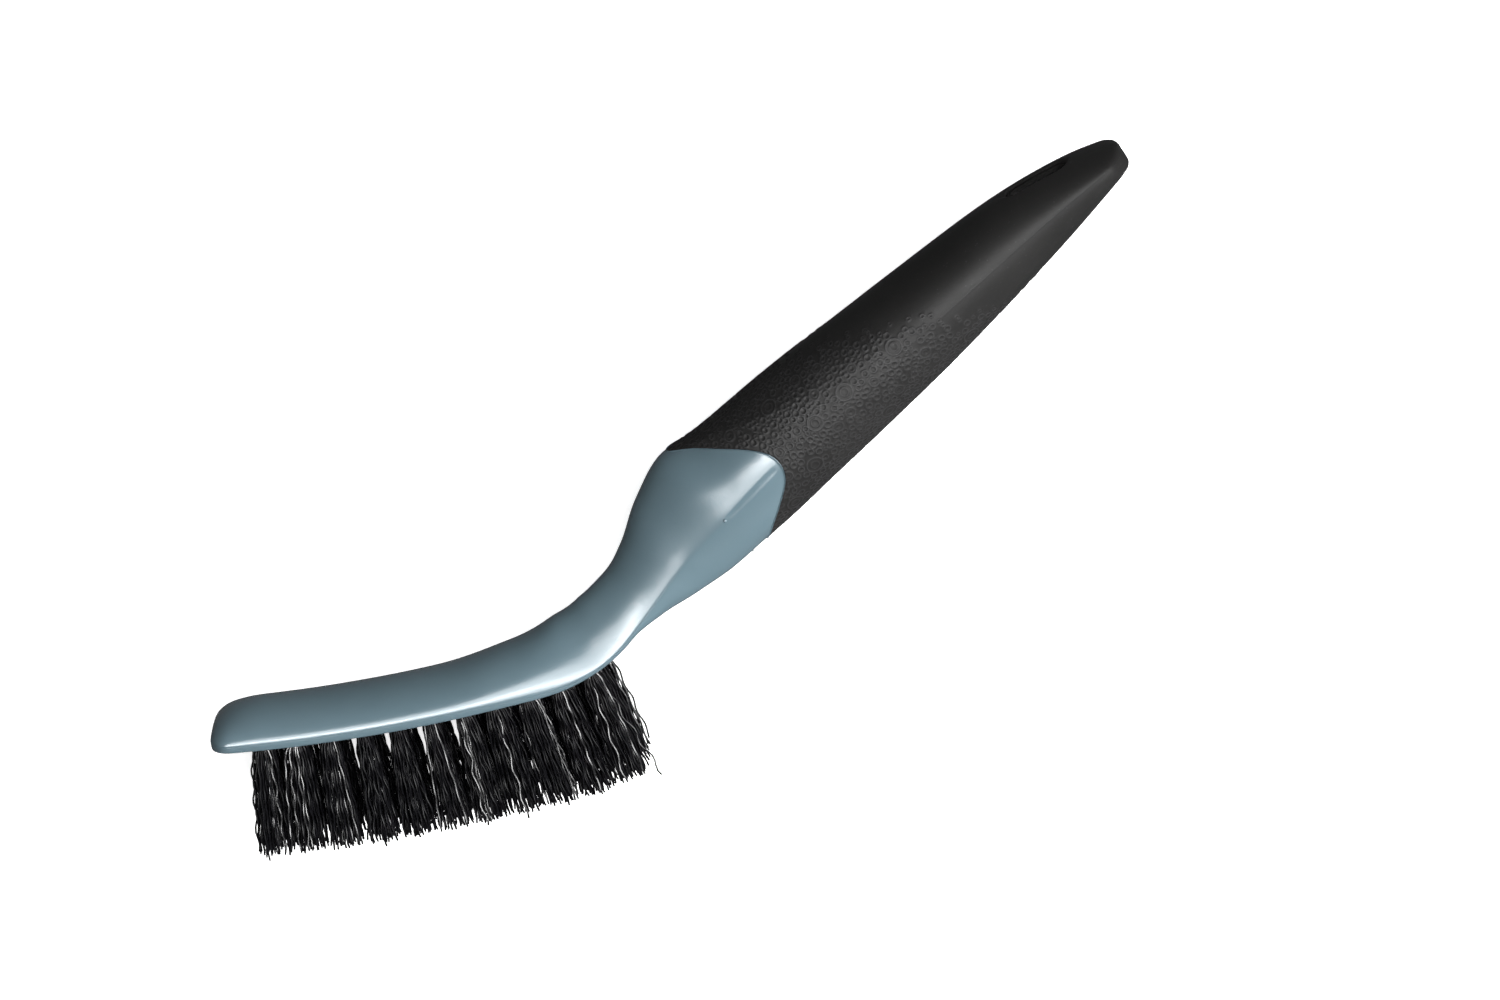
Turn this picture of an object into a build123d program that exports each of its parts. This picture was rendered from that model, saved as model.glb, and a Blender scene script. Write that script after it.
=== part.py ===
from build123d import *
from math import cos, pi, radians, sin, sqrt
import os

# Scrub brush: swan-necked plastic head, soft grip, three rows of bristle tufts.
# Millimetres. The brush is drawn bristles down: +X from the head to the handle
# end, Z up from the lowest bristle tips, symmetric about Y = 0. At the end it is
# laid on its side, as it rests on a table: +X still runs to the handle end, +Y
# from the bristle tips to the back of the brush, and +Z up across the brush.

# ---- overall size -------------------------------------------------------
LENGTH = 229.8            # along the parting line, nose to handle end
NOSE_X = -103.16          # start of the parting line
NOSE_Z = 29.83

# The parting line is a curve in the XZ plane. It is given by its heading
# (degrees above horizontal) against distance along it: a gentle rocker under
# the head, the swan neck, then the almost straight handle.
HEADING = [(0, -9.1), (25, -4.7), (50, -0.8), (66, 0.3), (80, 18.7), (92, 40.9), (104, 42.4),
           (118, 37.8), (135, 35.8), (165, 28.9), (200, 29.5), (231, 21.6)]

REST_HALF_WIDTH = 13.1    # the widest half-width, on which it lies
TIP_TO_TOP = 108.16       # lowest bristle tip to the top of the handle end

# ---- cross-section laws, against distance along the parting line ---------
HALF_WIDTH = [(0, 9.75), (62, 9.75), (76, 9.3), (86, 8.6), (97, 8.0), (110, 8.9), (126, 11.6),
              (142, 12.95), (160, 13.1), (180, 12.5), (200, 11.3), (221, 9.85), (231, 7.0)]
CROWN = [(10, 5.5), (30, 5.75), (48, 6.15), (64, 8.4), (78, 11.2), (92, 10.7), (104, 11.2), (113, 14.4),
         (122, 16.1), (131, 13.8), (142, 12.4), (160, 10.7), (180, 9.5), (200, 8.0), (218, 4.85), (231, 0.84)]
BELLY = [(0, 1.95), (45, 1.95), (78, 1.3), (90, 1.7), (97, 4.1), (105, 7.6), (114, 10.3), (124, 11.4),
         (136, 12.4), (150, 12.8), (170, 11.9), (190, 10.2), (210, 8.02), (231, 3.41)]
# lower half: 1 is an ellipse, near 0 is a flat sole with upright sides
SOLE_FLATNESS = [(0, 0.12), (70, 0.12), (88, 0.5), (100, 0.95), (118, 1.0), (231, 1.0)]
# upper half: above 1 the surface meets the parting line in a crest
CREST = [(0, 1.0), (66, 1.0), (84, 1.5), (116, 1.5), (136, 1.2), (152, 1.08), (175, 1.0), (231, 1.0)]
# lower half: above 1 the surface leaves the parting line in a hollow
FLANK_HOLLOW = [(0, 1.5), (106, 1.5), (132, 1.0), (231, 1.0)]

# ---- rounding of the two ends --------------------------------------------
NOSE_CROWN_RUN = 11.4     # the crown rises to full height over this length
NOSE_CORNER = 4.4         # corner radius of the nose seen from above
END_RUN = 3.2             # the width closes over this length at the handle end,
END_LEAST = 0.2           # to this share of itself
EDGE_RUN = 1.0            # and the thickness over this length,
EDGE_LEAST = 0.76         # to this share
END_POWER = 1.8

# ---- line where the grip starts, in the XZ plane --------------------------
SEAM = [(-6.6, 66.1), (1.6, 67.2), (7.4, 67.9), (13.4, 67.9), (19.4, 67.3), (23.4, 65.3),
        (24.6, 61.9), (23.2, 57.3), (20.4, 51.9), (16.9, 44.9), (13.9, 38.6)]

# ---- tang inside the grip, and the hanging slot ---------------------------
TANG_START = 112.0
TANG_END = 209.0
TANG_SCALE = 0.6
SLOT_AT = 213.5           # distance along the parting line to the slot's centre
SLOT_LENGTH = 13.0
SLOT_WIDTH = 5.6
EYELET_WALL = 1.4         # ring of hard plastic that lines the slot
EYELET_TOP = 3.4          # its two faces, above and below the parting line
EYELET_BOTTOM = -2.8

# ---- bristle field --------------------------------------------------------
TUFT_COLUMNS = 11
TUFT_ROWS = 3
FIRST_TUFT_AT = 10.4      # distance along the parting line
TUFT_PITCH = 6.88
ROW_SPACING = 5.8
FIRST_LEAN = -9.6         # degrees from straight down, towards the nose
LAST_LEAN = 5.8
HOLE_RADIUS = 1.65
HOLE_DEPTH = 4.2
TUFT_LENGTH = 23.8        # free length, sole to tip
ROOT_RADIUS = 1.6
SHOULDER_RADIUS = 2.2
TIP_RADIUS = 2.8
ANCHOR = (0.35, 3.8, 2.0)  # flat steel staple: thickness, width, depth


def law(table, s):
    """Monotone cubic curve through the (distance, value) pairs of a table."""
    s = min(max(s, table[0][0]), table[-1][0])
    n = len(table)
    step = [table[i + 1][0] - table[i][0] for i in range(n - 1)]
    rise = [(table[i + 1][1] - table[i][1]) / step[i] for i in range(n - 1)]

    def slope(i):
        if i == 0:
            return end_slope(step[0], step[1], rise[0], rise[1])
        if i == n - 1:
            return end_slope(step[-1], step[-2], rise[-1], rise[-2])
        if rise[i - 1] * rise[i] <= 0:
            return 0.0
        w1 = 2 * step[i] + step[i - 1]
        w2 = step[i] + 2 * step[i - 1]
        return (w1 + w2) / (w1 / rise[i - 1] + w2 / rise[i])

    k = 0
    while k < n - 2 and s > table[k + 1][0]:
        k += 1
    t = (s - table[k][0]) / step[k]
    v0, v1 = table[k][1], table[k + 1][1]
    m0, m1 = slope(k) * step[k], slope(k + 1) * step[k]
    return v0 + t * m0 + t * t * (3 * (v1 - v0) - 2 * m0 - m1) + t ** 3 * (2 * (v0 - v1) + m0 + m1)


def end_slope(h0, h1, r0, r1):
    """One-sided slope at the end of a table, kept monotone."""
    m = ((2 * h0 + h1) * r0 - h0 * r1) / (h0 + h1)
    if m * r0 <= 0:
        return 0.0
    if r0 * r1 <= 0 and abs(m) > 3 * abs(r0):
        return 3 * r0
    return m


def spine(s):
    """Point (x, z) and heading in radians at distance s along the parting line."""
    count = max(1, round(s / 0.5))
    step = s / count
    x, z = NOSE_X, NOSE_Z
    for i in range(count):
        mid = radians(law(HEADING, (i + 0.5) * step))
        x += step * cos(mid)
        z += step * sin(mid)
    return x, z, radians(law(HEADING, s))


def round_off(r):
    """Quarter ellipse from 0 at r = 0 to 1 at r = 1."""
    r = min(max(r, 0.0), 1.0)
    return sqrt(1 - (1 - r) ** 2)


def end_factor(s, run, least):
    """Factor that closes the handle end, 1 until the last part of its length."""
    r = 1 - min(max((LENGTH - s) / run, 0.0), 1.0)
    return least + (1 - least) * (1 - r ** END_POWER) ** (1 / END_POWER)


def half_width(s):
    nose = NOSE_CORNER * (1 - round_off(s / NOSE_CORNER))
    return (law(HALF_WIDTH, s) - nose) * end_factor(s, END_RUN, END_LEAST)


def crown(s):
    nose = 0.12 + 0.88 * round_off(s / NOSE_CROWN_RUN)
    return law(CROWN, s) * nose * end_factor(s, EDGE_RUN, EDGE_LEAST)


def belly(s):
    return law(BELLY, s) * end_factor(s, EDGE_RUN, EDGE_LEAST)


def section(s, scale=1.0):
    """Closed cross-section at distance s: an arched upper half and a lower half
    that is a flat sole under the head and an ellipse under the handle."""
    x, z, heading = spine(s)
    a, top, bottom = scale * half_width(s), scale * crown(s), scale * belly(s)
    flat, hollow, crest = law(SOLE_FLATNESS, s), law(FLANK_HOLLOW, s), law(CREST, s)

    def place(y, n):
        return Vector(x - n * sin(heading), y, z + n * cos(heading))

    upper = [place(-a * cos(pi * i / 16), top * sin(pi * i / 16) ** crest) for i in range(17)]
    lower = []
    for i in range(17):
        c = cos(pi * i / 16)
        side = 1 if c > 0 else -1
        y = a * side * abs(c) ** flat if 0 < i < 16 and i != 8 else a * (1 - i / 8)
        lower.append(place(y, -bottom * sin(pi * i / 16) ** hollow))
    return Wire([Edge.make_spline(upper), Edge.make_spline(lower)])


def upright(s):
    """Plane at distance s whose Z is square to the parting line and X runs along it."""
    x, z, heading = spine(s)
    return Plane(origin=(x, 0, z), x_dir=(cos(heading), 0, sin(heading)), z_dir=(-sin(heading), 0, cos(heading)))


# ---- outer shape ----------------------------------------------------------
stations = [0, 0.15, 0.5, 1.1, 2.0, 3.2, 4.8, 7.0, 9.5, 12.5, 18, 26, 36, 46, 55, 62, 68, 74, 80, 86, 92, 98,
            104, 110, 116, 122, 128, 134, 141, 150, 160, 172, 184, 196, 206, 214, 220, 224, 226.6, 227.5,
            228.3, 228.8, 229.2, 229.5, 229.7, LENGTH]
envelope = Solid.make_loft([section(s) for s in stations])

# ---- grip and body --------------------------------------------------------
seam = Edge.make_spline([Vector(x, 0, z) for x, z in SEAM])
beyond = Polyline((SEAM[-1][0], 0, SEAM[-1][1]), (140, 0, SEAM[-1][1]), (140, 0, 150), (SEAM[0][0], 0, 150),
                  (SEAM[0][0], 0, SEAM[0][1]))
grip_side = extrude(Face(Wire([seam, *beyond.edges()])), amount=20, dir=(0, 1, 0), both=True)

tang_stations = [TANG_START + (TANG_END - TANG_START) * i / 9 for i in range(10)]
tang = Solid.make_loft([section(s, TANG_SCALE) for s in tang_stations])

slot_plane = upright(SLOT_AT)
slot = slot_plane * extrude(SlotOverall(SLOT_LENGTH, SLOT_WIDTH), amount=20, both=True)
ring = SlotOverall(SLOT_LENGTH + 2 * EYELET_WALL, SLOT_WIDTH + 2 * EYELET_WALL)
eyelet = slot_plane * Pos(0, 0, EYELET_BOTTOM) * extrude(ring, amount=EYELET_TOP - EYELET_BOTTOM)

core = tang + eyelet - slot
body = envelope - grip_side + core
grip = (envelope & grip_side) - core - slot

# ---- tufts, their holes and their anchors ---------------------------------
tufts = {}
anchors = []
holes = []
for column in range(TUFT_COLUMNS):
    s = FIRST_TUFT_AT + column * TUFT_PITCH
    x, z, heading = spine(s)
    root_x = x + belly(s) * sin(heading)
    root_z = z - belly(s) * cos(heading)
    lean = radians(FIRST_LEAN + (LAST_LEAN - FIRST_LEAN) * column / (TUFT_COLUMNS - 1))
    for row in range(TUFT_ROWS):
        y = (row - (TUFT_ROWS - 1) / 2) * ROW_SPACING
        along = Plane(origin=(root_x, y, root_z), x_dir=(cos(lean), 0, sin(lean)),
                      z_dir=(sin(lean), 0, -cos(lean)))
        floor = -HOLE_DEPTH
        outline = Polyline((0, floor), (ROOT_RADIUS, floor), (ROOT_RADIUS, 0.4), (SHOULDER_RADIUS, 5.0),
                           (TIP_RADIUS, 14.0), (TIP_RADIUS, TUFT_LENGTH), (0, TUFT_LENGTH), close=True)
        bundle = revolve(Plane.XZ * make_face(outline), Axis.Z)
        anchor = Pos(0, 0, floor + ANCHOR[2] / 2) * Box(*ANCHOR)
        hole = Pos(0, 0, floor) * Cylinder(HOLE_RADIUS, 12, align=(Align.CENTER, Align.CENTER, Align.MIN))
        tufts[f"tuft_r{row + 1}_{column + 1:02d}"] = along * (bundle - anchor)
        anchors.append(along * anchor)
        holes.append(along * hole)
body = body - holes - anchors

# ---- laid on its side, then one STEP file per node -------------------------
laid = Pos(0, -TIP_TO_TOP / 2, REST_HALF_WIDTH) * Rot(-90, 0, 0)
os.makedirs("parts", exist_ok=True)
export_step(laid * body, "parts/body.step")
export_step(laid * grip, "parts/grip.step")
export_step(laid * Compound(anchors), "parts/tuft_anchors.step")
for name, tuft in tufts.items():
    export_step(laid * tuft, f"parts/{name}.step")
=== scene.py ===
import math

import bmesh
import bpy
import numpy as np
from mathutils import Matrix, Vector
from mathutils.kdtree import KDTree


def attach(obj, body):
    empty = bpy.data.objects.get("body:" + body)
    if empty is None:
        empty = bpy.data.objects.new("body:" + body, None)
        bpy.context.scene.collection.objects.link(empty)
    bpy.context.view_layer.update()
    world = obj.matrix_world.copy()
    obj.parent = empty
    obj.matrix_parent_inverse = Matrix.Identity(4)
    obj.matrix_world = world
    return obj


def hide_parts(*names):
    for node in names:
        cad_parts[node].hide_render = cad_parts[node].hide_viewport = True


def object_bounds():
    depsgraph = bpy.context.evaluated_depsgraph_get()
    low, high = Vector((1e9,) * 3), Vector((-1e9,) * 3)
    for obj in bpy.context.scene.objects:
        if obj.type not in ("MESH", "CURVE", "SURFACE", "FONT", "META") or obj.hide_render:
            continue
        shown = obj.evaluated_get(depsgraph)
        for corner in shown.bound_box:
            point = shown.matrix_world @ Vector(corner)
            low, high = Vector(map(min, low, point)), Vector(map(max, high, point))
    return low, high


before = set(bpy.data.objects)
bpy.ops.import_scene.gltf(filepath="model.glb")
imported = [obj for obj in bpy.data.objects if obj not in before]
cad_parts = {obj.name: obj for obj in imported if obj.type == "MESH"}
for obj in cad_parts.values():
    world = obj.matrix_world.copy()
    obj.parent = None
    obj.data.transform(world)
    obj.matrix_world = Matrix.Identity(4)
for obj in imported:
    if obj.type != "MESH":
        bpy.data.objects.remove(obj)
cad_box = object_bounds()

# Scrub brush: slate head and neck, black soft grip with an embossed bubble
# pattern, 33 tufts of crimped black bristle. The shape laws below are the CAD
# model's own, apart from CROWN over the bend of the neck, which is up to 0.7 mm
# closer to the real outline here. They are in millimetres and describe the brush
# upright, bristles down; to_mesh lays it on its side, in metres.
MM = 0.001
rng = np.random.default_rng(7)
TIP_TO_TOP, REST_HALF_WIDTH = 108.16, 13.1

# ------------------------------------------------------------------ shape laws
# each table holds (distance along the parting line from the nose, value)
LENGTH = 229.8
NOSE_X, NOSE_Z = -103.16, 29.83
HEADING = [(0, -9.1), (25, -4.7), (50, -0.8), (66, 0.3), (80, 18.7), (92, 40.9), (104, 42.4),
           (118, 37.8), (135, 35.8), (165, 28.9), (200, 29.5), (231, 21.6)]
HALF_WIDTH = [(0, 9.75), (62, 9.75), (76, 9.3), (86, 8.6), (97, 8.0), (110, 8.9), (126, 11.6),
              (142, 12.95), (160, 13.1), (180, 12.5), (200, 11.3), (221, 9.85), (231, 7.0)]
CROWN = [(10, 5.5), (30, 5.75), (48, 6.15), (64, 8.5), (78, 11.4), (87, 11.55), (92, 11.0), (98, 10.45),
         (104, 11.3), (113, 14.25), (122, 16.1), (131, 13.8), (142, 12.4), (160, 10.7), (180, 9.5),
         (200, 8.0), (218, 4.85), (231, 0.84)]
BELLY = [(0, 1.95), (45, 1.95), (78, 1.3), (90, 1.7), (97, 4.1), (105, 7.6), (114, 10.3), (124, 11.4),
         (136, 12.4), (150, 12.8), (170, 11.9), (190, 10.2), (210, 8.02), (231, 3.41)]
SOLE_FLATNESS = [(0, 0.12), (70, 0.12), (88, 0.5), (100, 0.95), (118, 1.0), (231, 1.0)]
CREST = [(0, 1.0), (66, 1.0), (84, 1.5), (116, 1.5), (136, 1.2), (152, 1.08), (175, 1.0), (231, 1.0)]
FLANK_HOLLOW = [(0, 1.5), (106, 1.5), (132, 1.0), (231, 1.0)]
NOSE_CROWN_RUN, NOSE_CROWN_LEAST, NOSE_CORNER = 11.4, 0.12, 4.4
END_RUN, END_LEAST, EDGE_RUN, EDGE_LEAST, END_POWER = 3.2, 0.2, 1.0, 0.76, 1.8
# seam between body and grip, seen from the side: (x, z)
SEAM = [(-6.6, 66.1), (1.6, 67.2), (7.4, 67.9), (13.4, 67.9), (19.4, 67.3), (23.4, 65.3),
        (24.6, 61.9), (23.2, 57.3), (20.4, 51.9), (16.9, 44.9), (13.9, 38.6)]
SLOT_AT, SLOT_LENGTH, SLOT_WIDTH = 213.5, 13.0, 5.6
EYELET_WALL, EYELET_TOP, EYELET_BOTTOM = 1.4, 3.4, -2.8
COLUMNS, ROWS = 11, 3
FIRST_TUFT_AT, TUFT_PITCH, ROW_SPACING = 10.4, 6.88, 5.8
FIRST_LEAN, LAST_LEAN = -9.6, 5.8
HOLE_RADIUS, HOLE_DEPTH, TUFT_LENGTH = 1.65, 4.2, 23.8


def law(table, s):
    """Monotone cubic curve through the (distance, value) pairs of a table."""
    t = np.array(table, float)
    x, v = t[:, 0], t[:, 1]
    h = np.diff(x)
    r = np.diff(v) / h
    m = np.zeros(len(x))
    same = r[:-1] * r[1:] > 0
    w1, w2 = 2 * h[1:] + h[:-1], h[1:] + 2 * h[:-1]
    safe = lambda q: np.where(same, q, 1.0)
    m[1:-1] = np.where(same, (w1 + w2) / (w1 / safe(r[:-1]) + w2 / safe(r[1:])), 0.0)
    for i, (h0, h1, r0, r1) in ((0, (h[0], h[1], r[0], r[1])), (-1, (h[-1], h[-2], r[-1], r[-2]))):
        e = ((2 * h0 + h1) * r0 - h0 * r1) / (h0 + h1)
        if e * r0 <= 0:
            e = 0.0
        elif r0 * r1 <= 0 and abs(e) > 3 * abs(r0):
            e = 3 * r0
        m[i] = e
    s = np.clip(np.asarray(s, float), x[0], x[-1])
    k = np.clip(np.searchsorted(x, s, side="right") - 1, 0, len(h) - 1)
    u = (s - x[k]) / h[k]
    m0, m1 = m[k] * h[k], m[k + 1] * h[k]
    rise = v[k + 1] - v[k]
    return v[k] + u * m0 + u * u * (3 * rise - 2 * m0 - m1) + u ** 3 * (m0 + m1 - 2 * rise)


STEP = 0.05
GRID = np.arange(0, LENGTH + 1, STEP)
_mid = np.radians(law(HEADING, GRID[:-1] + STEP / 2))
SPINE_X = NOSE_X + np.concatenate([[0], np.cumsum(STEP * np.cos(_mid))])
SPINE_Z = NOSE_Z + np.concatenate([[0], np.cumsum(STEP * np.sin(_mid))])


def spine(s):
    """Position (x, z) and heading of the parting line at distance s."""
    return np.interp(s, GRID, SPINE_X), np.interp(s, GRID, SPINE_Z), np.radians(law(HEADING, s))


def round_off(r):
    """Quarter-circle rise from 0 to 1."""
    return np.sqrt(1 - (1 - np.clip(r, 0, 1)) ** 2)


def end_factor(s, run, least):
    """Rounding of the handle end: 1, falling to least over the last run millimetres."""
    r = 1 - np.clip((LENGTH - s) / run, 0, 1)
    return least + (1 - least) * (1 - r ** END_POWER) ** (1 / END_POWER)


def half_width(s):
    nose = NOSE_CORNER * (1 - round_off(s / NOSE_CORNER))
    return (law(HALF_WIDTH, s) - nose) * end_factor(s, END_RUN, END_LEAST)


def crown(s):
    nose = NOSE_CROWN_LEAST + (1 - NOSE_CROWN_LEAST) * round_off(s / NOSE_CROWN_RUN)
    return law(CROWN, s) * nose * end_factor(s, EDGE_RUN, EDGE_LEAST)


def belly(s):
    return law(BELLY, s) * end_factor(s, EDGE_RUN, EDGE_LEAST)


def skin(s, t, inset=0.0):
    """Point on the outer surface. s is the distance along the parting line and t
    goes round the section: 0 and 1 on the parting line (near, far) over the top,
    1 to 2 underneath. Arrays broadcast. Returns (..., 3)."""
    s, t = np.broadcast_arrays(np.asarray(s, float), np.asarray(t, float))
    x, z, h = spine(s)
    a, top, low = half_width(s) - inset, crown(s) - inset, belly(s) - inset
    flat, hollow, crest = law(SOLE_FLATNESS, s), law(FLANK_HOLLOW, s), law(CREST, s)
    ang = np.pi * t
    c, q = np.cos(ang), np.sin(ang)
    under = t > 1
    y = np.where(under, -a * np.sign(c) * np.abs(c) ** flat, -a * c)
    n = np.where(under, -low * np.abs(q) ** hollow, top * np.abs(q) ** crest)
    return np.stack([x - n * np.sin(h), y, z + n * np.cos(h)], -1)


def to_mesh(name, verts, faces, sharp=()):
    """Mesh object from millimetre points of the upright brush, laid on its side;
    sharp lists vertex-index pairs of sharp edges."""
    v = np.asarray(verts, float)
    laid = np.stack([v[:, 0], v[:, 2] - TIP_TO_TOP / 2, REST_HALF_WIDTH - v[:, 1]], 1) * MM
    mesh = bpy.data.meshes.new(name)
    mesh.from_pydata(laid.tolist(), [], faces)
    mesh.polygons.foreach_set("use_smooth", [True] * len(mesh.polygons))
    if len(sharp):
        wanted = {tuple(sorted(e)) for e in sharp}
        keys = mesh.attributes.new("sharp_edge", "BOOLEAN", "EDGE")
        keys.data.foreach_set("value", [tuple(sorted(e.vertices)) in wanted for e in mesh.edges])
    mesh.update()
    obj = bpy.data.objects.new(name, mesh)
    bpy.context.scene.collection.objects.link(obj)
    return obj


def grid_faces(rows, cols, wrap=False, flip=False):
    """Quads of a rows x cols grid of vertices numbered row by row."""
    out = []
    for i in range(rows - 1):
        for j in range(cols if wrap else cols - 1):
            a = i * cols + j
            b = i * cols + (j + 1) % cols
            c, d = b + cols, a + cols
            out.append((a, d, c, b) if flip else (a, b, c, d))
    return out


def grid_normals(p):
    """Unit normals of a grid of points (rows, cols, 3), pointing away from the spine."""
    du = np.gradient(p, axis=0)
    dv = np.gradient(p, axis=1)
    n = np.cross(dv, du)
    size = np.linalg.norm(n, axis=2, keepdims=True)
    return n / np.maximum(size, 1e-9)


# ------------------------------------------------------------------ the seam
def seam_curve():
    """Smooth curve through the seam points, as a dense polyline in the XZ plane."""
    p = np.array(SEAM)
    d = np.concatenate([[0], np.cumsum(np.linalg.norm(np.diff(p, axis=0), axis=1))])
    n = len(d)
    h = np.diff(d)
    m = np.zeros((n, n))
    r = np.zeros((n, 2))
    m[0, 0] = m[-1, -1] = 1
    for i in range(1, n - 1):
        m[i, i - 1:i + 2] = h[i - 1], 2 * (h[i - 1] + h[i]), h[i]
        r[i] = 6 * ((p[i + 1] - p[i]) / h[i] - (p[i] - p[i - 1]) / h[i - 1])
    k = np.linalg.solve(m, r)
    u = np.linspace(0, d[-1], 300)
    i = np.clip(np.searchsorted(d, u, side="right") - 1, 0, n - 2)
    a, b, hh = (d[i + 1] - u)[:, None], (u - d[i])[:, None], h[i][:, None]
    return (k[i] * a ** 3 + k[i + 1] * b ** 3) / (6 * hh) + (p[i] / hh - k[i] * hh / 6) * a \
        + (p[i + 1] / hh - k[i + 1] * hh / 6) * b


_curve = seam_curve()
SEAM_POLYGON = np.vstack([_curve, [(140, _curve[-1][1]), (140, 150), (_curve[0][0], 150)]])


def past_seam(x, z):
    """True where the point lies on the handle's side of the seam."""
    x, z = np.atleast_1d(x), np.atleast_1d(z)
    inside = np.zeros(x.shape, bool)
    px, pz = SEAM_POLYGON[:, 0], SEAM_POLYGON[:, 1]
    qx, qz = np.roll(px, -1), np.roll(pz, -1)
    for x0, z0, x1, z1 in zip(px, pz, qx, qz):
        if z0 == z1:
            continue
        crosses = ((z0 > z) != (z1 > z)) & (x < (x1 - x0) * (z - z0) / (z1 - z0) + x0)
        inside ^= crosses
    return inside


def seam_at(t):
    """Distance along the parting line where the seam crosses direction t round the section."""
    t = np.asarray(t, float)
    lo, hi = np.full(t.shape, 113.0), np.full(t.shape, 152.0)
    for _ in range(26):
        mid = (lo + hi) / 2
        p = skin(mid, t)
        beyond = past_seam(p[..., 0], p[..., 2])
        hi = np.where(beyond, mid, hi)
        lo = np.where(beyond, lo, mid)
    return (lo + hi) / 2


# ------------------------------------------------------------------ hard plastic body
TOP_STEPS, LOW_STEPS = 56, 64
# the rows of the mesh lie square to the parting line up to here, then lean over to the seam
LEAN_FROM = 112.0
# height of the raised bead along the parting line: distances, heights
PARTING_BEAD = ([0, 3, 90, 118, 124, 125, 138, 139], [0.04, 0.07, 0.07, 0.0, 0.0, 0.15, 0.15, 0.05])
BODY_EDGE_RADIUS, GRIP_EDGE_RADIUS, SLOT_LIP_RADIUS = 0.28, 0.3, 0.8


def rounded_away(distance, radius):
    """Depth missing at a distance from an edge that is rounded to this radius."""
    left = radius - np.clip(distance, 0, radius)
    return radius - np.sqrt(np.maximum(radius ** 2 - left ** 2, 0))


def body_piece():
    """Head, neck and bulb up to the seam, closed by a core that is hidden in the grip."""
    nose_run, row_gap = 12.0, 0.8
    t = np.concatenate([np.arange(TOP_STEPS) / TOP_STEPS, 1 + np.arange(LOW_STEPS) / LOW_STEPS])
    cols = len(t)
    nose = nose_run * (1 - np.cos(np.linspace(0, np.pi / 2, 22)))
    rows = np.concatenate([nose, np.arange(nose_run + row_gap, LEAN_FROM + 0.01, row_gap)])
    seam = seam_at(t)
    k = np.linspace(0, 1, 46)[1:, None]
    leaning = LEAN_FROM + (seam - LEAN_FROM) * (1 - (1 - k) ** 1.35)
    s = np.vstack([np.repeat(rows[:, None], cols, 1), leaning])
    p = skin(s, t)
    n = grid_normals(np.concatenate([p[:, -1:], p, p[:, :1]], 1))[:, 1:-1]

    # a fine bead along the join of the two mould halves, and the edge beside the grip
    bead_height = np.where(t % 1 == 0, np.interp(s, *PARTING_BEAD), 0.0)
    p = p + n * (bead_height - rounded_away(seam - s, BODY_EDGE_RADIUS))[..., None]

    # inside: follow the seam inwards, then on to the core
    inner = [skin(seam + ahead, t, inset) for inset, ahead in ((1.0, 0.0), (2.2, 0.3), (3.4, 3.0))]
    core = skin(150.0, t, 5.0)
    verts = np.vstack([p.reshape(-1, 3), *inner, core, p[0].mean(0), core.mean(0)])
    n_rows = len(s) + len(inner) + 1
    faces = grid_faces(n_rows, cols, wrap=True)
    nose_centre, core_centre, last = n_rows * cols, n_rows * cols + 1, (n_rows - 1) * cols
    faces += [(nose_centre, (j + 1) % cols, j) for j in range(cols)]
    faces += [(core_centre, last + j, last + (j + 1) % cols) for j in range(cols)]
    # sharp edges: the parting line of the head on both sides, and the end of its sole
    sharp = [(i * cols + j, (i + 1) * cols + j) for j in (0, TOP_STEPS)
             for i in range(len(s) - 1) if s[i, j] < LEAN_FROM]
    sharp += [(j, (j + 1) % cols) for j in range(TOP_STEPS, cols)]
    return to_mesh("brush_body", verts, faces, sharp)


body = body_piece()


def tuft_frames():
    """Root point, bristle direction and side direction of each tuft, by row and column."""
    out = {}
    for column in range(COLUMNS):
        s = FIRST_TUFT_AT + column * TUFT_PITCH
        x, z, h = (float(q) for q in spine(s))
        low = float(belly(s))
        lean = math.radians(FIRST_LEAN + (LAST_LEAN - FIRST_LEAN) * column / (COLUMNS - 1))
        for row in range(ROWS):
            y = (row - (ROWS - 1) / 2) * ROW_SPACING
            root = Vector((x + low * math.sin(h), y, z - low * math.cos(h)))
            out[row + 1, column + 1] = (root, Vector((math.sin(lean), 0, -math.cos(lean))),
                                        Vector((math.cos(lean), 0, math.sin(lean))))
    return out


TUFTS = tuft_frames()


# section of a hole: (distance out from the sole, radius) of its floor, the start and
# the mouth of the countersink, and a point clear of the sole
HOLE_SECTION = [(-HOLE_DEPTH, HOLE_RADIUS), (-0.25, HOLE_RADIUS), (0.3, HOLE_RADIUS + 0.45),
                (1.5, HOLE_RADIUS + 0.5)]


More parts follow.
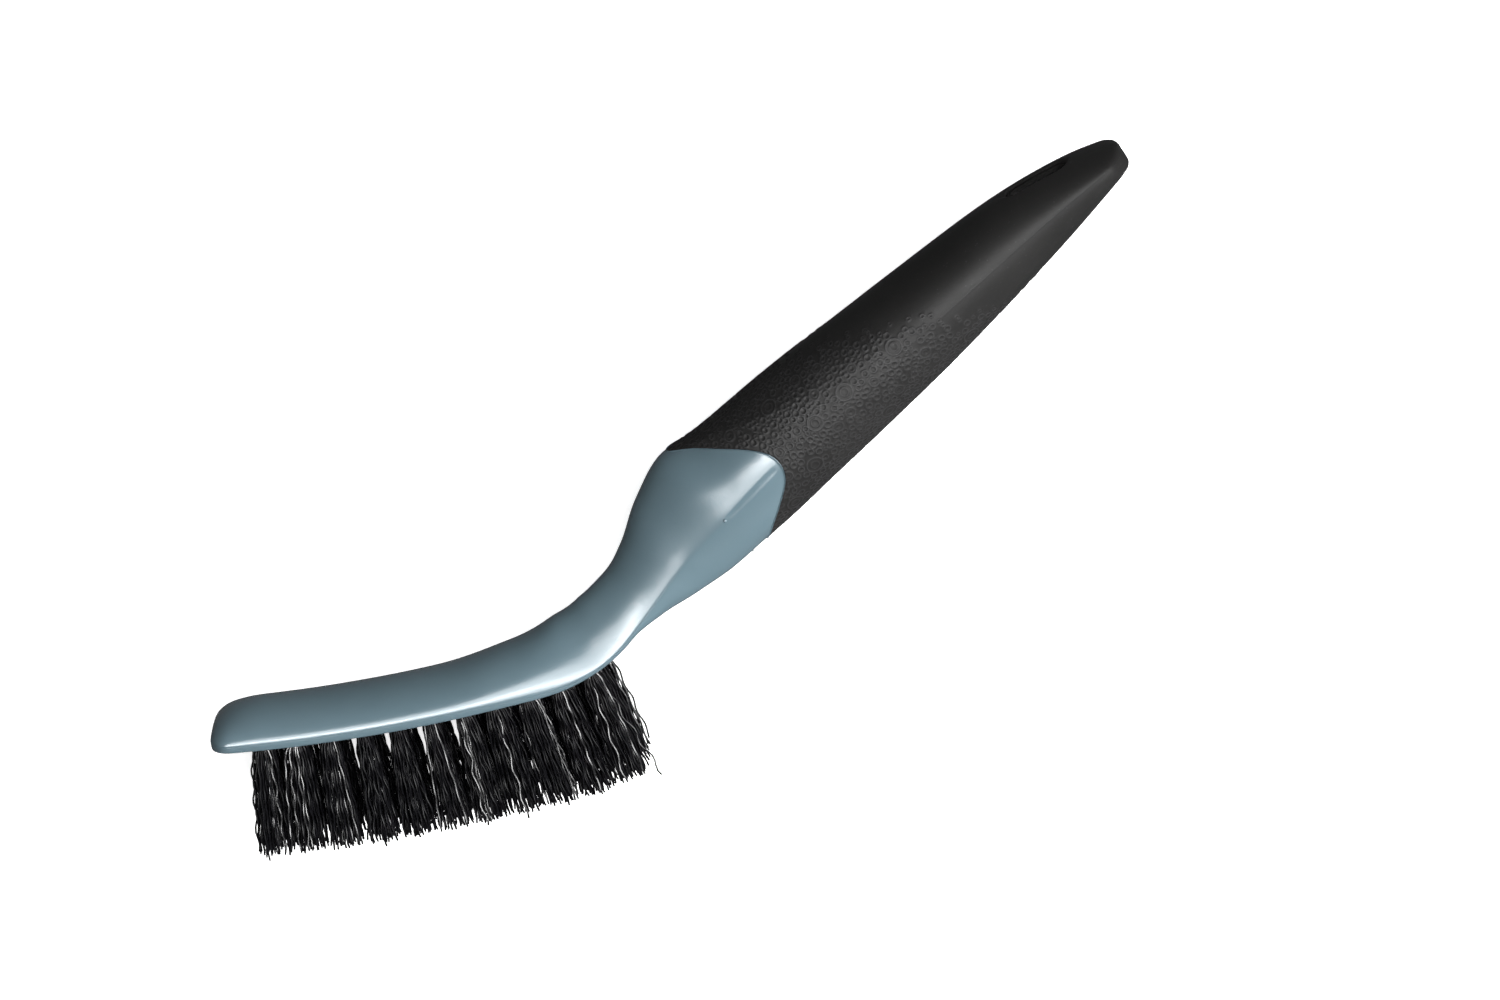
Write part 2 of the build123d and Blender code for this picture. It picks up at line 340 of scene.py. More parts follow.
def drill(target):
    """Cuts the blind tuft holes, each with a small countersunk lip, out of the sole."""
    verts, faces = [], []
    ring = 28
    for root, down, side in TUFTS.values():
        across = Vector((0, 1, 0))
        first = len(verts)
        for depth, radius in HOLE_SECTION:
            for i in range(ring):
                a = 2 * math.pi * i / ring
                verts.append(root + down * depth
                             + side * (radius * math.cos(a)) + across * (radius * math.sin(a)))
        for k in range(3):
            for i in range(ring):
                a, b = first + k * ring + i, first + k * ring + (i + 1) % ring
                faces.append((a, b, b + ring, a + ring))
        faces.append(tuple(first + i for i in reversed(range(ring))))
        faces.append(tuple(first + 3 * ring + i for i in range(ring)))
    cutter = to_mesh("drill", verts, faces)
    bm = bmesh.new()
    bm.from_mesh(cutter.data)
    bmesh.ops.recalc_face_normals(bm, faces=bm.faces)
    bm.to_mesh(cutter.data)
    bm.free()
    mod = target.modifiers.new("holes", "BOOLEAN")
    mod.operation, mod.solver, mod.object = "DIFFERENCE", "EXACT", cutter
    bpy.context.view_layer.update()
    done = bpy.data.meshes.new_from_object(target.evaluated_get(bpy.context.evaluated_depsgraph_get()))
    target.modifiers.clear()
    target.data = done
    bpy.data.objects.remove(cutter)


drill(body)


# ------------------------------------------------------------------ soft grip
# where the bubbles stop: distance along the handle against direction t (near side)
BUBBLE_END = [(-0.5, 202), (-0.3, 196), (-0.15, 189), (0, 182), (0.1, 178), (0.22, 170), (0.36, 162),
              (0.5, 152)]
# bubbles of each size: radius, places tried, least gap to the others
BUBBLE_SIZES = [(1.65, 70, 5.0), (1.05, 300, 1.6), (0.62, 9000, 0.16), (0.52, 14000, 0.12),
                (0.36, 12000, 0.10)]
# height and half-thickness of the raised lines, and how far beyond a ring they are felt
EMBOSS_HEIGHT, EMBOSS_LINE, EMBOSS_REACH = 0.14, 0.15, 0.45
DOUBLE_RING_FROM, DIMPLE_DEPTH = 0.8, 0.07
# the two soft shoulders beside the thumb rest: direction t against distance
SHOULDER = [(124, 0.44), (135, 0.35), (141, 0.28), (148, 0.22), (160, 0.18)]


def fold_t(t):
    """Direction on the near side that mirrors any direction: -0.5 bottom, 0 side, 0.5 top."""
    t = np.mod(t, 2.0)
    t = np.where(t > 1.5, t - 2.0, t)
    return np.where(t > 0.5, 1.0 - t, t)


def bubbles():
    """Centres and radii of the embossed rings, packed from large to small."""
    seam_t = np.linspace(0, 2, 81)
    seam_s = seam_at(seam_t)
    rings, centres, radii = [], np.zeros((0, 3)), np.zeros(0)
    for radius, tries, room in BUBBLE_SIZES:
        s = rng.uniform(122, 203, tries)
        t = rng.uniform(0, 2, tries)
        size = radius * rng.uniform(0.92, 1.08, tries)
        edge = law(BUBBLE_END, fold_t(t))
        start = np.interp(t, seam_t, seam_s)
        # over the last 12 mm before the edge the bubbles grow sparse and small
        fade = np.clip((edge - s) / 12.0, 0, 1)
        keep = (s > start + size * 0.5) & (s < edge + 3) & (rng.uniform(0, 1, tries) < 0.05 + 0.95 * fade)
        keep &= size < 0.45 + 2.5 * fade
        p = skin(s, t)
        for i in np.flatnonzero(keep):
            if len(radii):
                gap = np.linalg.norm(centres - p[i], axis=1) - radii - size[i]
                if gap.min() < room:
                    continue
            rings.append((p[i], float(size[i])))
            centres = np.vstack([centres, p[i]])
            radii = np.append(radii, size[i])
    return rings


RINGS = bubbles()


def emboss(points):
    """Height of the bubble pattern at each point, in millimetres: a raised ring, a second
    one inside each large bubble, and a shallow dimple in the middle."""
    flat = points.reshape(-1, 3)
    tree = KDTree(len(flat))
    for i, q in enumerate(flat):
        tree.insert(q, i)
    tree.balance()
    height = np.zeros(len(flat))
    for centre, r in RINGS:
        hits = tree.find_range(centre, r + EMBOSS_REACH)
        if not hits:
            continue
        idx = np.array([h[1] for h in hits])
        d = np.array([h[2] for h in hits])
        up = EMBOSS_HEIGHT * np.exp(-((d - r) / EMBOSS_LINE) ** 2)
        if r > DOUBLE_RING_FROM:
            up = np.maximum(up, 0.8 * EMBOSS_HEIGHT * np.exp(-((d - 0.5 * r) / EMBOSS_LINE) ** 2))
        up = up - DIMPLE_DEPTH * np.exp(-(d / (0.3 + 0.12 * r)) ** 2)
        height[idx] = np.where(np.abs(up) > np.abs(height[idx]), up, height[idx])
    return height.reshape(points.shape[:-1])


SLOT_FROM, SLOT_TO, SLOT_END = SLOT_AT - SLOT_LENGTH / 2, SLOT_AT + SLOT_LENGTH / 2, SLOT_WIDTH / 2


def beyond_slot_middle(s):
    """How far s lies past the straight part of the slot, 0 along it."""
    return np.maximum(np.abs(s - SLOT_AT) - (SLOT_LENGTH / 2 - SLOT_END), 0)


def slot_width_at(s):
    """Half-width of the hanging slot at distance s, 0 outside it."""
    return np.sqrt(np.maximum(SLOT_END ** 2 - beyond_slot_middle(s) ** 2, 0))


def grip_rows(seam):
    """Distance of every point of the grip's grid, and how many rows lean over to the seam."""
    square_from, gap, slot_zone = 152.0, 0.22, 198.0
    k = np.linspace(0, 1, 122)[:, None]
    leaning = seam + (square_from - seam) * (0.35 * k + 0.65 * k ** 1.25)
    arc = SLOT_END * (1 - np.cos(np.linspace(0, np.pi / 2, 11)))
    square = np.concatenate([
        np.arange(square_from + gap, slot_zone, gap), np.linspace(slot_zone + 0.1, SLOT_FROM, 7)[:-1],
        SLOT_FROM + arc, np.linspace(SLOT_FROM + SLOT_END, SLOT_TO - SLOT_END, 26)[1:-1],
        (SLOT_TO - arc)[::-1], np.linspace(SLOT_TO, LENGTH - END_RUN, 12)[1:],
        LENGTH - END_RUN * (1 - np.sin(np.linspace(0, np.pi / 2, 22)))[1:]])
    return np.vstack([leaning, np.repeat(square[:, None], len(seam), 1)]), len(leaning)


def grip_relief(s, t, q):
    """Height of the soft shoulders and the parting line over the plain grip, less the
    rounding of the slot's lip."""
    side_t = fold_t(t)
    away = (side_t - law(SHOULDER, s)) * np.pi * 13.0
    lift = np.interp(s, [124, 131, 148, 161], [0.0, 0.42, 0.42, 0.0])
    shoulder = lift * np.where(away > 0, np.exp(-away / 2.6), np.exp(away / 5.0)) * (side_t > -0.1)
    from_slot = np.hypot(beyond_slot_middle(s), q[..., 1]) - SLOT_END
    lip = np.where(s > SLOT_FROM - 2, rounded_away(from_slot, SLOT_LIP_RADIUS), 0)
    parting = 0.045 * np.exp(-((t - np.round(t)) * np.pi * 12 / 0.16) ** 2) * (s > 176)
    return shoulder + parting - lip


def grip_half(name, side):
    """Half of the grip: side -1 is the upper one as the brush lies, +1 the lower one."""
    cols, wall_steps = 228, 16
    down = np.linspace(0, 1, cols)
    upper = down <= 0.5
    t0 = np.where(upper, 0.5 - down, 2 - (down - 0.5))
    seam = seam_at(t0)
    s, leaning = grip_rows(seam)
    rows = len(s)
    slot = slot_width_at(s[:, 0])
    slot[:leaning] = 0
    open_angle = np.arccos(np.clip(slot / half_width(s[:, 0]), 0, 1))[:, None] / np.pi
    t = np.where(upper, open_angle * (1 - 2 * down), 2 - open_angle * (2 * down - 1))
    q = skin(s, t)
    n = grid_normals(q)
    n = np.where((np.sum(n * (q - skin(s, t, 2.0)), -1) < 0)[..., None], -n, n)
    mirror = np.array([1, -side, 1])
    q, n = q * mirror, n * mirror
    raised = emboss(q)
    relief = grip_relief(s, t, q) + raised - rounded_away(s - seam, GRIP_EDGE_RADIUS)
    q = q + n * relief[..., None]
    if side > 0:
        # the rings it lies on are pressed flat
        q[..., 1] = np.minimum(q[..., 1], REST_HALF_WIDTH)

    verts, count = [q.reshape(-1, 3)], rows * cols
    faces = grid_faces(rows, cols, flip=(side > 0))

    def add(face):
        faces.append(face if side < 0 else tuple(reversed(face)))

    # wall of the slot
    slot_rows = [i for i in range(leaning, rows) if SLOT_FROM - 1e-6 <= s[i, 0] <= SLOT_TO + 1e-6]
    wall = {}
    for i in slot_rows:
        top, low = q[i, 0], q[i, -1]
        verts.append(np.array([top + (low - top) * (j / wall_steps) for j in range(1, wall_steps)]))
        wall[i] = [i * cols, *range(count, count + wall_steps - 1), (i + 1) * cols - 1]
        count += wall_steps - 1
    for i, j in zip(slot_rows[:-1], slot_rows[1:]):
        for m in range(wall_steps):
            add((wall[i][m + 1], wall[j][m + 1], wall[j][m], wall[i][m]))
    # inward flange behind the seam, hidden between grip and body
    rings = [list(range(cols))]
    for inset, ahead in ((1.2, 0.0), (3.6, 0.4)):
        verts.append(skin(seam + ahead, t0, inset) * mirror)
        rings.append(list(range(count, count + cols)))
        count += cols
    for outer, inner in zip(rings[:-1], rings[1:]):
        for j in range(cols - 1):
            add((outer[j], inner[j], inner[j + 1], outer[j + 1]))
    # end of the handle
    last = (rows - 1) * cols
    verts.append(q[-1].mean(0)[None, :] * [1, 0, 1])
    for j in range(cols - 1):
        add((count, last + j, last + j + 1))
    piece = to_mesh(name, np.vstack(verts), faces)
    # the share of the full emboss at each point, by which the material lightens the raised lines as a
    # painted highlight
    mark = np.zeros(len(piece.data.vertices))
    mark[:rows * cols] = raised.ravel() / EMBOSS_HEIGHT
    piece.data.attributes.new("raised", "FLOAT", "POINT").data.foreach_set("value", mark)
    return piece


grip_near = grip_half("grip_upper_half", -1)
grip_far = grip_half("grip_lower_half", 1)


# ------------------------------------------------------------------ moulding marks
# dome, from its sunk foot to near its top: (share of the radius, share of the height)
DOME = [(1.15, -0.5), (1.0, 0.0), (0.93, 0.38), (0.75, 0.68), (0.48, 0.9), (0.2, 0.99)]


def bead(name, centre, outward, radius, height):
    """Small, slightly uneven dome of material on the surface, its foot sunk below it."""
    z = Vector(outward).normalized()
    x = z.orthogonal().normalized()
    y = z.cross(x)
    ring, verts = 20, []
    for out, rise in DOME:
        for k in range(ring):
            a = 2 * math.pi * k / ring
            wobble = 1 + 0.06 * math.sin(3 * a + 1)
            flat = (x * math.cos(a) + y * math.sin(a)) * (radius * out * wobble)
            verts.append(tuple(Vector(centre) + flat + z * (height * rise)))
    faces = grid_faces(len(DOME), ring, wrap=True)
    verts += [tuple(Vector(centre) + z * height), tuple(Vector(centre) + z * (height * DOME[0][1]))]
    last = (len(DOME) - 1) * ring
    faces += [(last + k, last + (k + 1) % ring, len(verts) - 2) for k in range(ring)]
    faces += [((k + 1) % ring, k, len(verts) - 1) for k in range(ring)]
    return to_mesh(name, verts, faces)


# the gate mark is on the parting line, the nub of flash under the neck: (s, t) on the skin
GATE, NUB = (123.6, 0.0), (119.1, 1.57)
gate_mark = bead("gate_mark", skin(*GATE), (0, -1, 0), 0.36, 0.22)
flash_nub = bead("flash_nub", skin(*NUB), skin(*NUB) - skin(*NUB, 2.0), 0.2, 0.32)


# ------------------------------------------------------------------ ring that lines the slot
def slot_lining():
    """Rounded-edge band of hard plastic round the wall of the hanging slot."""
    x, z, h = (float(v) for v in spine(SLOT_AT))
    round_end, straight = SLOT_WIDTH / 2, (SLOT_LENGTH - SLOT_WIDTH) / 2
    back, low, high = EYELET_WALL - 0.3, EYELET_BOTTOM, EYELET_TOP
    # section of the band: (distance out from the slot's wall, height)
    profile = [(back, low), (0.15, low), (0.02, low + 0.05), (-0.03, low + 0.2), (-0.03, 0.3),
               (-0.03, high - 0.2), (0.02, high - 0.05), (0.15, high), (back, high), (back, 0.3)]
    outline = []
    for end in (1, -1):
        for a in np.linspace(-np.pi / 2, np.pi / 2, 25):
            outline.append((end * straight, end * math.cos(a), end * math.sin(a)))
        for k in np.linspace(1, -1, 9)[1:-1]:
            outline.append((end * straight * k, 0.0, float(end)))
    verts = []
    for middle, along, across in outline:
        for out, n in profile:
            u, y = middle + along * (round_end + out), across * (round_end + out)
            verts.append((x + u * math.cos(h) - n * math.sin(h), y, z + u * math.sin(h) + n * math.cos(h)))
    cols = len(profile)
    faces = [tuple(v % len(verts) for v in f) for f in grid_faces(len(outline) + 1, cols, wrap=True)]
    return to_mesh("slot_lining", verts, faces)


lining = slot_lining()


# ------------------------------------------------------------------ bristles
FILAMENTS, FILAMENT_RADIUS = 46, 0.215
BUNDLE_RADIUS, TIP_SPREAD = 1.42, [3.6, 2.8]
POLISHED_SHARE, BOWED_SHARE = 0.13, 0.6
GOLDEN_ANGLE, FULL_TURN, HALF_TURN = 2.39996, 6.283, 3.1416
# neighbouring columns whose tufts stay apart near the root
OPEN_GAPS = {(3, 4), (4, 5), (5, 6), (6, 7)}
# power law by which filaments reach their spread: late beside an open gap, else early
LATE_OPENING, EARLY_OPENING = 0.8, 0.34


def filament(root, down, side, start, end, opening, length, wave, radius, verts, faces):
    """One crimped filament, a five-sided tube, from inside its hole to its cut tip. start
    and end are its offsets in the tuft at the root and the tip; wave is the height,
    pitch, phase and plane of its crimp."""
    across = np.array([0.0, 1.0, 0.0])
    steps, sides, sunk, settle = 24, 5, 1.2, 3.0
    reach = np.linspace(-sunk, length, steps)
    amp, pitch, phase, plane = wave
    spread = np.clip(reach / length, 0, 1) ** opening
    offset = start[None, :] + (end - start)[None, :] * spread[:, None]
    free = amp * np.clip(reach / settle, 0, 1)
    swing = free * np.sin(2 * np.pi * reach / pitch + phase)
    swing2 = 0.35 * free * np.sin(2 * np.pi * reach / (pitch * 0.63) + 2.3 * phase)
    offset = offset + swing[:, None] * [math.cos(plane), math.sin(plane)] \
        + swing2[:, None] * [-math.sin(plane), math.cos(plane)]
    path = root + reach[:, None] * down + offset[:, :1] * side + offset[:, 1:] * across
    first = len(verts)
    turn = 2 * np.pi * np.arange(sides) / sides + phase
    for i in range(steps):
        verts.extend(path[i] + radius * (np.cos(b) * side + np.sin(b) * across) for b in turn)
    for i in range(steps - 1):
        for j in range(sides):
            a, b = first + i * sides + j, first + i * sides + (j + 1) % sides
            faces.append((a, a + sides, b + sides, b))
    faces.append(tuple(first + (steps - 1) * sides + j for j in reversed(range(sides))))
    faces.append(tuple(first + j for j in range(sides)))


def tuft_piece(row, column):
    """One tuft of separate crimped filaments; "shine" stores how polished each one is."""
    root, down, side = (np.array(q) for q in TUFTS[row, column])
    verts, faces, shine = [], [], []

    def grow(polish, start, end, opening, length, wave, radius):
        filament(root, down, side, start, end, opening, length, wave, radius, verts, faces)
        shine.extend([polish] * (len(verts) - len(shine)))

    base_phase = rng.uniform(0, FULL_TURN)
    for i in range(FILAMENTS):
        r = BUNDLE_RADIUS * math.sqrt((i + 0.5) / FILAMENTS)
        a = i * GOLDEN_ANGLE + row + 0.7 * column
        start = np.array([r * math.cos(a), r * math.sin(a)])
        u = start / BUNDLE_RADIUS
        # the round root opens into a squarish brush of tips that meets its neighbours
        stretch = 1.0 / max(abs(u[0]), abs(u[1]), 1e-3) * np.linalg.norm(u)
        end = u * (0.5 + 0.5 * stretch) * TIP_SPREAD + rng.normal(0, 0.18, 2)
        neighbours = (column - 1, column) if u[0] < 0 else (column, column + 1)
        opening = LATE_OPENING if neighbours in OPEN_GAPS else EARLY_OPENING
        length = TUFT_LENGTH + rng.normal(0, 0.16)
        # a few are cut long, and a few stray sideways
        if rng.random() < 0.05:
            length += rng.uniform(0.4, 1.2)
        if rng.random() < 0.06:
            end = end + rng.normal(0, 0.7, 2)
        wave = (rng.uniform(0.12, 0.3), rng.uniform(6.2, 7.2), base_phase + rng.normal(0, 0.9),
                rng.uniform(0, HALF_TURN))
        radius = FILAMENT_RADIUS * rng.uniform(0.93, 1.07)
        polish = 1.0 if rng.random() < POLISHED_SHARE else rng.uniform(0.0, 0.08)
        grow(polish, start, end, opening, length, wave, radius)
    if row == 1 and rng.random() < BOWED_SHARE:
        # now and then a bristle bows out in front of the rest, waving across the tuft
        start = np.array([rng.uniform(-0.9, 0.9), -1.1])
        end = np.array([start[0] * 2.4 + rng.normal(0, 0.5), -rng.uniform(4.0, 4.8)])
        wave = (rng.uniform(0.28, 0.4), rng.uniform(6.4, 7.2), rng.uniform(0, FULL_TURN), rng.normal(0, 0.2))
        grow(0.8, start, end, 1.0, TUFT_LENGTH + rng.normal(0, 0.3), wave, 0.225)
    if (row, column) == (1, COLUMNS):
        # the one long stray at the heel of the head
        grow(0.3, np.array([1.3, -0.8]), np.array([6.2, -2.6]), 1.15, TUFT_LENGTH + 1.0,
             (0.42, 6.6, 1.0, 0.3), 0.2)
    piece = to_mesh(f"bristle_tuft_{row}_{column:02d}", verts, faces)
    piece.data.attributes.new("shine", "FLOAT", "POINT").data.foreach_set("value", shine)
    return piece


tufts = {key: tuft_piece(*key) for key in TUFTS}


# ------------------------------------------------------------------ materials
class Surface:
    """A procedural material: a Principled shader and helpers that feed it."""

    def __init__(self, name):
        self.mat = bpy.data.materials.new(name)
        self.mat.use_nodes = True
        self.nodes, self.links = self.mat.node_tree.nodes, self.mat.node_tree.links
        self.shader = self.nodes["Principled BSDF"]
        self.where = self.nodes.new("ShaderNodeTexCoord").outputs["Object"]

    def stretched(self, scale):
        """Object coordinates multiplied by scale (x, y, z)."""
        node = self.nodes.new("ShaderNodeMapping")
        node.inputs["Scale"].default_value = scale
        self.links.new(self.where, node.inputs["Vector"])
        return node.outputs["Vector"]

    def stored(self, name):
        """Number stored at each point of the mesh under this name."""
        node = self.nodes.new("ShaderNodeAttribute")
        node.attribute_name = name
        return node.outputs["Fac"]

    def noise(self, scale, detail=2.0, rough=0.5, vector=None, bend=0.0):
        """Noise of 0 to 1 in object space, scale features to the metre."""
        node = self.nodes.new("ShaderNodeTexNoise")
        node.inputs["Scale"].default_value = scale
        node.inputs["Detail"].default_value = detail
        node.inputs["Roughness"].default_value = rough
        node.inputs["Distortion"].default_value = bend
        self.links.new(vector or self.where, node.inputs["Vector"])
        return node.outputs["Fac"]

    def remap(self, value, low, high, to_low, to_high):
        """The range low to high carried over to another range, and clamped to it."""
        node = self.nodes.new("ShaderNodeMapRange")
        node.inputs["From Min"].default_value, node.inputs["From Max"].default_value = low, high
        node.inputs["To Min"].default_value, node.inputs["To Max"].default_value = to_low, to_high
        self.links.new(value, node.inputs["Value"])
        return node.outputs["Result"]

    def maths(self, kind, a, b):
        node = self.nodes.new("ShaderNodeMath")
        node.operation = kind
        for socket, value in zip(node.inputs, (a, b)):
            if isinstance(value, (int, float)):
                socket.default_value = value
            else:
                self.links.new(value, socket)
        return node.outputs["Value"]

    def blend(self, factor, one, two):
        node = self.nodes.new("ShaderNodeMix")
        node.data_type = "RGBA"
        self.links.new(factor, node.inputs["Factor"])
        for key, value in (("A", one), ("B", two)):
            socket = next(q for q in node.inputs if q.name == key and q.type == "RGBA")
            if isinstance(value, tuple):
                socket.default_value = (*value, 1)
            else:
                self.links.new(value, socket)
        return next(q for q in node.outputs if q.type == "RGBA")

    def bump(self, height, distance, strength=1.0, under=None):
        """Shading relief of this height in metres, on top of another one."""
        node = self.nodes.new("ShaderNodeBump")
        node.inputs["Distance"].default_value = distance
        node.inputs["Strength"].default_value = strength
        self.links.new(height, node.inputs["Height"])
        if under is not None:
            self.links.new(under, node.inputs["Normal"])
        return node.outputs["Normal"]

    def finish(self, colour=None, rough=None, normal=None, **fixed):
        """Feeds the shader's main inputs, sets the fixed ones and returns the material."""
        for key, value in (("Base Color", colour), ("Roughness", rough), ("Normal", normal)):
            if value is not None:
                self.links.new(value, self.shader.inputs[key])
        for key, value in fixed.items():
            self.shader.inputs[key.replace("_", " ")].default_value = value
        return self.mat


def hard_plastic():
    """Glossy moulded polypropylene: faint flow clouding, orange peel and wear of the gloss."""
    m = Surface("slate_plastic")
    cloud = m.noise(38, 3, 0.55, bend=0.4)
    colour = m.blend(m.remap(cloud, 0.3, 0.7, 0, 1), (0.088, 0.134, 0.158), (0.102, 0.152, 0.178))
    fleck = m.remap(m.noise(1300, 2, 0.6), 0.7, 0.82, 0, 0.05)
    colour = m.blend(fleck, colour, (0.16, 0.21, 0.23))
    drag = m.remap(m.noise(1, 2, 0.5, m.stretched((90, 4500, 4500))), 0.3, 0.7, -0.01, 0.01)
    smear = m.remap(m.noise(120, 4, 0.6), 0.3, 0.7, 0.19, 0.25)
    peel = m.bump(m.noise(1500, 3, 0.7), 0.000016, 1.0, m.bump(m.noise(420, 2, 0.5), 0.000012))
    return m.finish(colour, m.maths("ADD", smear, drag), peel, IOR=1.5)


def soft_rubber():
    """Matte moulded elastomer: fine spark-eroded grain, slight dust, polish by handling, and a painted
    highlight that lightens the raised lines.
    """
    m = Surface("black_grip_rubber")
    cloud = m.noise(45, 4, 0.6, bend=0.5)
    colour = m.blend(m.remap(cloud, 0.3, 0.7, 0, 1), (0.0112, 0.0110, 0.0109), (0.0155, 0.0152, 0.0150))
    # painted highlight: the raised lines of the bubbles are lightened towards grey
    line = m.remap(m.stored("raised"), 0.35, 0.9, 0, 0.75)
    colour = m.blend(line, colour, (0.032, 0.032, 0.033))
    dust = m.remap(m.noise(2600, 1, 0.4), 0.73, 0.78, 0, 0.35)
    colour = m.blend(dust, colour, (0.06, 0.06, 0.062))
    rough = m.remap(m.noise(90, 4, 0.6, bend=0.3), 0.3, 0.7, 0.44, 0.54)
    grain = m.bump(m.noise(5200, 2, 0.6), 0.00002, 0.8)
    return m.finish(colour, rough, m.bump(m.noise(1500, 2, 0.5), 0.00002, 0.6, grain), IOR=1.48,
                    Specular_IOR_Level=0.12)


def bristle_plastic():
    """Black polypropylene filament: a few polished bristles among scuffed ones, and
    faint lengthwise variation."""
    m = Surface("black_bristle")
    tint = m.noise(700, 2, 0.6)
    colour = m.blend(m.remap(tint, 0.3, 0.7, 0, 1), (0.0025, 0.0025, 0.003), (0.006, 0.006, 0.007))
    shine = m.stored("shine")
    scuff = m.remap(m.noise(1600, 2, 0.6), 0.3, 0.7, -0.04, 0.04)
    rough = m.maths("ADD", m.remap(shine, 0, 1, 0.2, 0.28), scuff)
    m.links.new(m.remap(shine, 0, 1, 0.05, 1.0), m.shader.inputs["Specular IOR Level"])
    return m.finish(colour, rough, m.bump(m.noise(6000, 2, 0.5), 0.000004, 0.5), IOR=1.5)


def anchor_steel():
    """Drawn flat steel wire: lengthwise draw marks and slight darkening."""
    m = Surface("anchor_steel_wire")
    draw = m.noise(1, 3, 0.6, m.stretched((400, 9000, 400)))
    colour = m.blend(m.remap(m.noise(800, 3), 0.3, 0.7, 0, 1), (0.42, 0.42, 0.41), (0.58, 0.575, 0.56))
    rough = m.remap(draw, 0.3, 0.7, 0.26, 0.42)
    return m.finish(colour, rough, m.bump(draw, 0.00001, 0.6), Metallic=1.0)


def floor_card():
    """Pale matte studio sweep with barely visible paper mottling."""
    m = Surface("studio_card")
    colour = m.blend(m.remap(m.noise(30, 4, 0.6), 0.3, 0.7, 0, 1), (0.86, 0.86, 0.86), (0.9, 0.9, 0.895))
    m.shader.inputs["Emission Color"].default_value = (1, 1, 1, 1)
    rough = m.remap(m.noise(200, 2), 0.3, 0.7, 0.7, 0.8)
    return m.finish(colour, rough, IOR=1.3, Emission_Strength=0.75)


def wear(piece, material, slot, *nodes):
    """Gives a piece its material, hangs it under the root body and hides the CAD nodes it stands for."""
    piece.data.materials.clear()
    piece.data.materials.append(material)
    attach(piece, "root")
    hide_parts(*nodes)


slate = hard_plastic()
for piece in (body, lining, gate_mark):
    wear(piece, slate, "hard_plastic", "body")
rubber = soft_rubber()
for piece in (grip_near, grip_far, flash_nub):
    wear(piece, rubber, "soft_grip", "grip")
black = bristle_plastic()
for (row, column), piece in tufts.items():
    wear(piece, black, "bristle", f"tuft_r{row}_{column:02d}")
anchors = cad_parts["tuft_anchors"]
steel = anchor_steel()
for place in anchors.material_slots:
    place.material = steel


# ------------------------------------------------------------------ studio
CENTRE = Vector([(a + b) / 2 for a, b in zip(*cad_box)])
CENTRE.z = REST_HALF_WIDTH * MM
# horizontal direction of the long edge of every softbox
ALONG = (0.9713, -0.2380, 0.0)


def stage_piece(name, verts, faces, card):
    """Piece of the studio, which lights nothing and shows in no reflection."""
    mesh = bpy.data.meshes.new(name)
    mesh.from_pydata(verts, [], faces)
    mesh.shade_smooth()
    mesh.materials.append(card)
    obj = bpy.data.objects.new(name, mesh)
    bpy.context.scene.collection.objects.link(obj)
    obj.visible_diffuse = obj.visible_glossy = False
    return obj


def floor_piece(card):
    """Wide floor under the brush, its cells smallest in the middle."""
    cells, half = 24, 4.0
    k = np.linspace(-1, 1, cells + 1)
    k = np.sign(k) * np.abs(k) ** 2 * half
    return stage_piece("floor", [(x, y, 0.0) for y in k for x in k], grid_faces(cells + 1, cells + 1), card)


def backdrop_piece(card):
    """Pale card that sweeps up in a ring around the floor, so that a low view ends on it."""
    foot, bend, top, cells = 3.0, 0.9, 2.4, 96
    turns = np.linspace(0, math.pi / 2, 10)
    profile = [(foot + bend * math.sin(t), 0.001 + bend * (1 - math.cos(t))) for t in turns]
    profile.append((foot + bend, top))
    around = [(math.cos(a), math.sin(a)) for a in np.linspace(0, 2 * math.pi, cells, endpoint=False)]
    verts = [(r * c, r * s, z) for r, z in profile for c, s in around]
    obj = stage_piece("backdrop", verts, grid_faces(len(profile), cells, wrap=True), card)
    obj.visible_shadow = False
    return obj


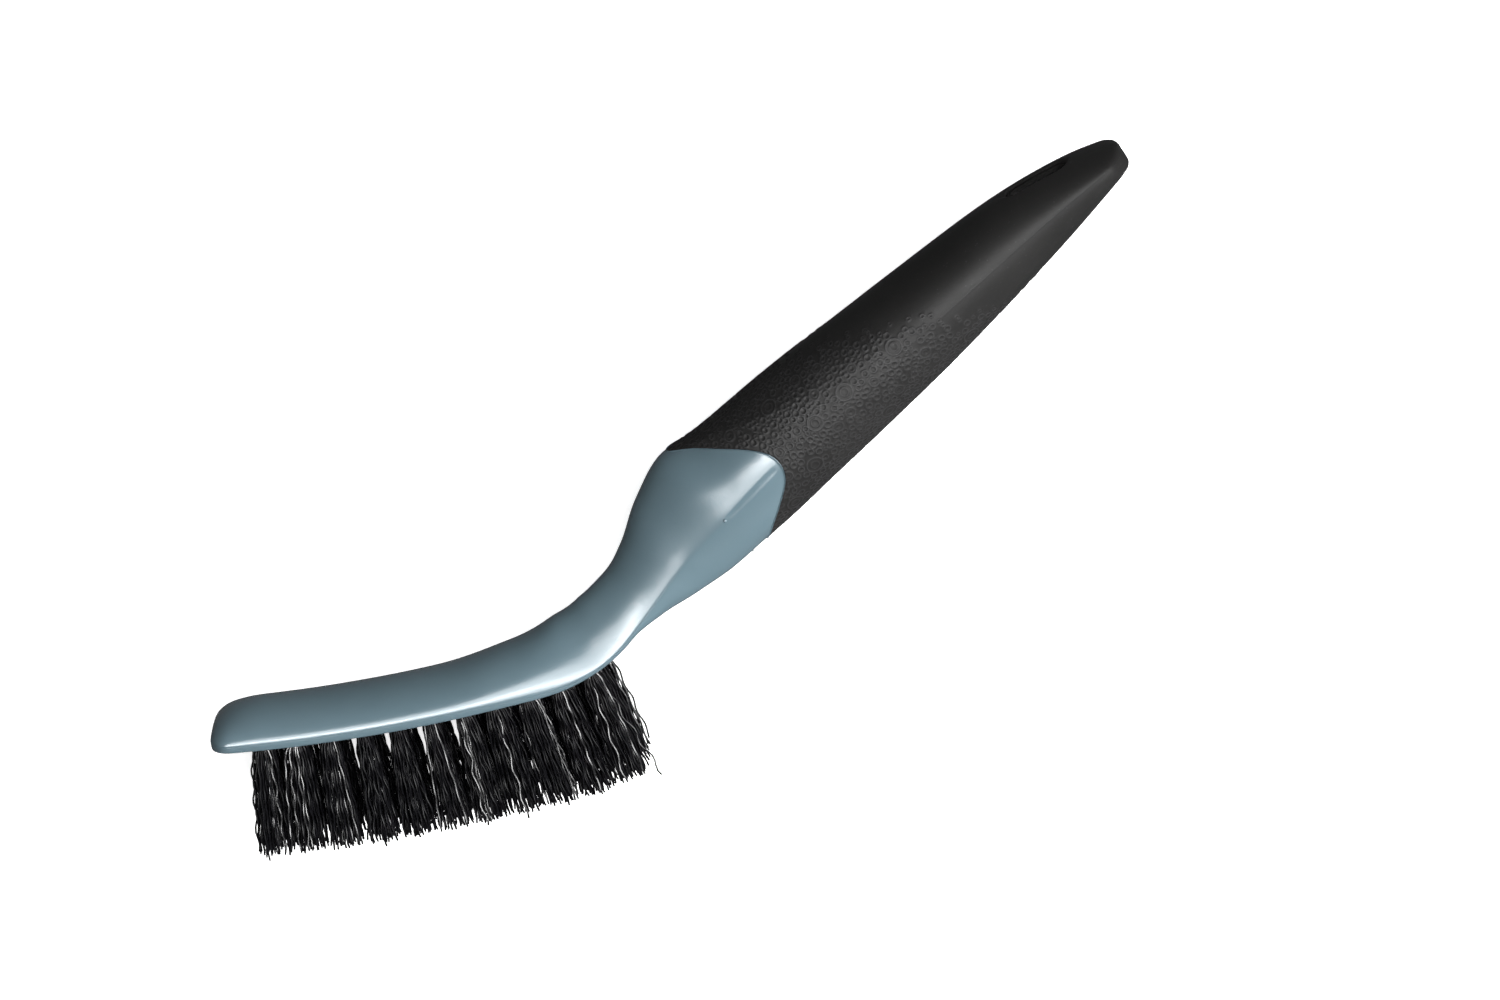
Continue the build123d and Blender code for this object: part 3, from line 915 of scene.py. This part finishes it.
def softbox(name, toward, distance, width, depth, power, sees=(True, True)):
    """Rectangular area light that faces the brush from the direction toward; sees
    says whether matt and glossy surfaces get its light."""
    data = bpy.data.lights.new(name, "AREA")
    data.shape, data.size, data.size_y, data.energy = "RECTANGLE", width, depth, power
    lamp = bpy.data.objects.new(name, data)
    z = Vector(toward).normalized()
    x = Vector(ALONG)
    x = (x - z * x.dot(z)).normalized()
    y = z.cross(x)
    lamp.matrix_world = Matrix((x, y, z)).transposed().to_4x4()
    lamp.location = CENTRE + z * distance
    lamp.visible_diffuse, lamp.visible_glossy = sees
    bpy.context.scene.collection.objects.link(lamp)
    return lamp


studio_card = floor_card()
floor_piece(studio_card)
backdrop_piece(studio_card)
softbox("key_softbox", (0.62, 0.18, 0.76), 1.1, 1.2, 1.2, 34.0)
softbox("gloss_softbox", (-0.22, 0.0, 0.97), 1.08, 0.75, 0.75, 20.0, (False, True))
softbox("strip_light", (-0.2, -0.03, 0.98), 1.05, 1.0, 0.1, 8.0, (False, True))
softbox("low_fill", (0.5, -0.8, 0.3), 0.9, 1.4, 0.7, 11.0, (True, False))

world = bpy.data.worlds.new("studio")
world.use_nodes = True
background = world.node_tree.nodes["Background"]
background.inputs["Color"].default_value = (0.98, 0.99, 1.0, 1)
background.inputs["Strength"].default_value = 0.14
scene = bpy.context.scene
scene.world = world
scene.view_settings.view_transform = "Standard"
scene.view_settings.look = "None"

# camera: long lens above the brush, tipped back from straight down, rolled to the photograph's slant
TILT, ROLL = math.radians(22.0), math.radians(13.77)
LENS, SENSOR, CAMERA_DISTANCE = 100.0, 36.0, 0.83333
AIM = CENTRE + Vector((0.01544, -0.0013, 0.0))
back = Vector((math.sin(TILT) * math.sin(ROLL), math.sin(TILT) * math.cos(ROLL), math.cos(TILT)))
right = Vector((math.cos(ROLL), -math.sin(ROLL), 0))
up = back.cross(right)
lens = bpy.data.cameras.new("camera")
lens.lens, lens.sensor_width, lens.clip_start = LENS, SENSOR, 0.01
camera = bpy.data.objects.new("camera", lens)
camera.matrix_world = Matrix((right, up, back)).transposed().to_4x4()
camera.location = AIM + back * CAMERA_DISTANCE
scene.collection.objects.link(camera)
scene.camera = camera
